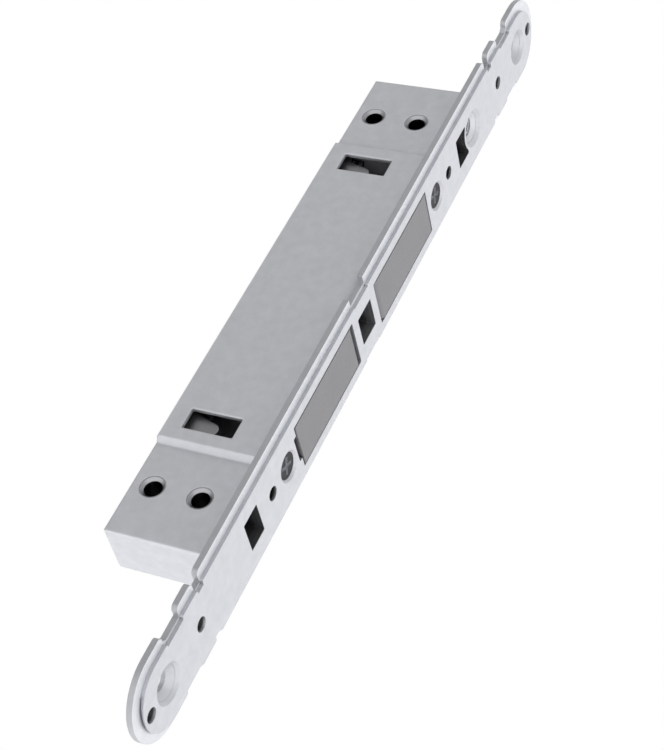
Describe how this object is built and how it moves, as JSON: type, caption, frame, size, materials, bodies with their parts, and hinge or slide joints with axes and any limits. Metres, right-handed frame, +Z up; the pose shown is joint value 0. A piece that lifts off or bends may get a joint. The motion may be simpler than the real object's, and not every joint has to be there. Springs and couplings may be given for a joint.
{
  "type": "magnetic door latch",
  "caption": "Slim mortise latch with a stepped, round-ended forend, two flush magnetic swing bolts in separate windows, and a flat casing with blocking gear behind them.",
  "frame": {"origin": "midway between the two fixing screws, on the back face of the forend", "axes": "+Z up along the forend, towards the end with the extra tapped hole; +Y from the door's edge into the door, along the depth of the casing; +X across the forend, away from the casing's cover"},
  "size_m": [0.024, 0.0327, 0.256],
  "materials": {
    "forend_steel": "fine satin, bright",
    "case_metal": "matt silver grey",
    "cover_steel": "matt zinc plated",
    "bush_steel": "plain",
    "screw_steel": "bright zinc plated",
    "bolt_metal": "matt grey, fine cast grain",
    "magnet": "bright plated",
    "pin_steel": "ground",
    "spring_steel": "drawn wire",
    "buffer_rubber": "matt",
    "lever_steel": "pressed, dull",
    "frame_steel": "zinc plated",
    "bobbin_plastic": "moulded",
    "coil_copper": "enamelled wire",
    "board": "solder resist",
    "terminal_plastic": "moulded",
    "sensor_plastic": "moulded"
  },
  "bodies": {
    "case": {"forend_plate": "forend_steel", "face_plate": "forend_steel", "case_body": "case_metal", "case_cover": "cover_steel", "block_bushes": "bush_steel", "case_screws": "screw_steel", "bolt_pin_upper": "pin_steel", "bolt_pin_lower": "pin_steel", "bolt_spring_upper": "spring_steel", "bolt_spring_lower": "spring_steel", "bolt_buffer_upper": "buffer_rubber", "bolt_buffer_lower": "buffer_rubber", "lever_pin_upper": "pin_steel", "lever_pin_lower": "pin_steel", "plunger_spring": "spring_steel", "solenoid_frame": "frame_steel", "solenoid_bobbin": "bobbin_plastic", "solenoid_coil": "coil_copper", "circuit_board": "board", "terminal_block": "terminal_plastic", "sensor_upper": "sensor_plastic", "sensor_lower": "sensor_plastic", "cable_grommet": "buffer_rubber"},
    "bolt_upper": {"latch_bolt_upper": "bolt_metal", "bolt_magnet_upper": "magnet"},
    "bolt_lower": {"latch_bolt_lower": "bolt_metal", "bolt_magnet_lower": "magnet"},
    "slide": {"lock_slide": "lever_steel", "plunger": "pin_steel", "drive_pin": "pin_steel"},
    "lever_upper": {"blocking_lever_upper": "lever_steel"},
    "lever_lower": {"blocking_lever_lower": "lever_steel"}
  },
  "joints": [
    {"name": "bolt_upper_swing", "type": "hinge", "parent": "case", "child": "bolt_upper", "pos_m": [0.00045, 0.0016, 0.00965], "axis": [1, 0, 0], "range_deg": [0, 14], "stiffness_Nm_per_rad": 0.02, "springref_deg": -11.46},
    {"name": "bolt_lower_swing", "type": "hinge", "parent": "case", "child": "bolt_lower", "pos_m": [0.00045, 0.0016, -0.00965], "axis": [-1, 0, 0], "range_deg": [0, 14], "stiffness_Nm_per_rad": 0.02, "springref_deg": -11.46},
    {"name": "lock_slide_stroke", "type": "slide", "parent": "case", "child": "slide", "axis": [0, 0, -1], "range_m": [0, 0.0016], "stiffness_N_per_m": 200, "springref_m": -0.001, "deforming": ["plunger_spring"]},
    {"name": "lever_upper_turn", "type": "hinge", "parent": "case", "child": "lever_upper", "pos_m": [-0.004, 0.02525, 0.04755], "axis": [1, 0, 0], "range_deg": [0, 20.2]},
    {"name": "lever_lower_turn", "type": "hinge", "parent": "case", "child": "lever_lower", "pos_m": [-0.004, 0.02525, -0.04755], "axis": [-1, 0, 0], "range_deg": [0, 20.2]}
  ],
  "couplings": [
    {"joint": "lever_upper_turn", "follows": "lock_slide_stroke", "rad_per_m": 218.17},
    {"joint": "lever_lower_turn", "follows": "lock_slide_stroke", "rad_per_m": 218.17}
  ]
}
